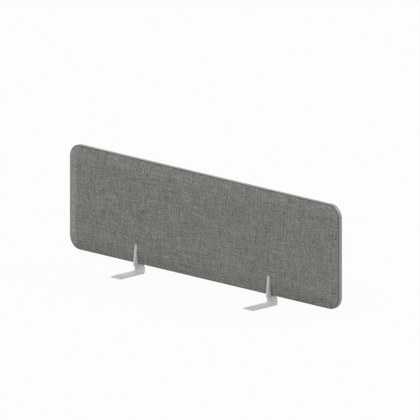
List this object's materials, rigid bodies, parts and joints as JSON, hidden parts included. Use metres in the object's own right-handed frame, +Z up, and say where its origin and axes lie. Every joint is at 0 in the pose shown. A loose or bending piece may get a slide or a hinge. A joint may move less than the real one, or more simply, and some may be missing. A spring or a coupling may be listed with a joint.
{
  "type": "desk divider screen",
  "caption": "Low fabric-covered desk screen with rounded corners, bevelled padded faces and a slim edge trim, on bent steel brackets that grip a desk edge.",
  "frame": {"origin": "middle of the part's box in X and Y, at the height of the bracket tongues' undersides", "axes": "+X along the screen, -Y towards the tongues' free ends and the desk, +Z up"},
  "size_m": [1.4, 0.1586, 0.436],
  "materials": {
    "board": "fibreboard dyed black all through",
    "trim": "satin grey moulding",
    "foam": "open-cell foam",
    "cloth": "grey melange plain weave",
    "bracket_paint": "light grey powder coat, matt",
    "screw_steel": "zinc plated"
  },
  "bodies": {
    "root": {"core_board": "board", "edge_trim": "trim", "front_pad": "foam", "rear_pad": "foam", "front_cover": "cloth", "rear_cover": "cloth", "left_bracket_plate": "bracket_paint", "left_front_fin": "bracket_paint", "left_rear_fin": "bracket_paint", "left_lock_screw": "screw_steel", "right_bracket_plate": "bracket_paint", "right_front_fin": "bracket_paint", "right_rear_fin": "bracket_paint", "right_lock_screw": "screw_steel"}
  },
  "joints": []
}
